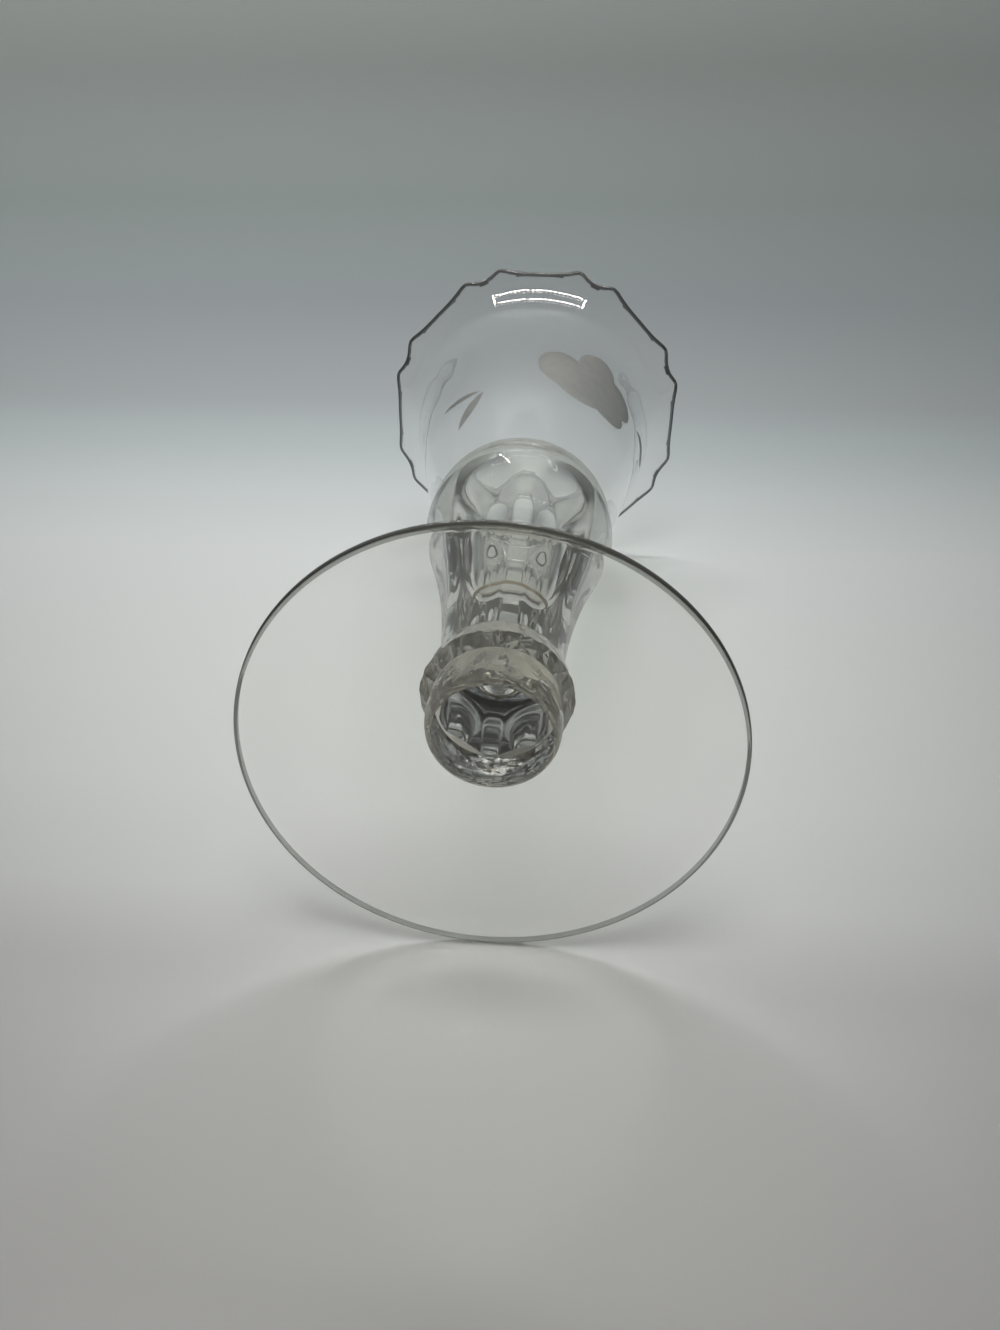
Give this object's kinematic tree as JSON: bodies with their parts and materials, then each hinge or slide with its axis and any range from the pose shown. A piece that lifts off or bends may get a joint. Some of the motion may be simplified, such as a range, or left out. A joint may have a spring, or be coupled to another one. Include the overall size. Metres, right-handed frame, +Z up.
{
  "type": "etched glass vase",
  "caption": "Clear glass footed vase with a fluted stem body, collar, flaring scalloped bowl and one satin etched flower spray; holds water and cut stems.",
  "frame": {"origin": "centre of the ring that the foot stands on, on the vase's axis", "axes": "+Z up the vase's axis towards the rim; -Y is the side that the picture shows uppermost"},
  "size_m": [0.0992, 0.0992, 0.2035],
  "materials": {
    "blown_glass": "clear, fire polished, with a satin etched flower spray on the bowl",
    "pressed_glass": "clear, fire polished after pressing"
  },
  "bodies": {
    "root": {"foot": "blown_glass", "button": "pressed_glass", "collar": "pressed_glass", "fluted_body": "pressed_glass", "bowl": "blown_glass"}
  },
  "joints": []
}
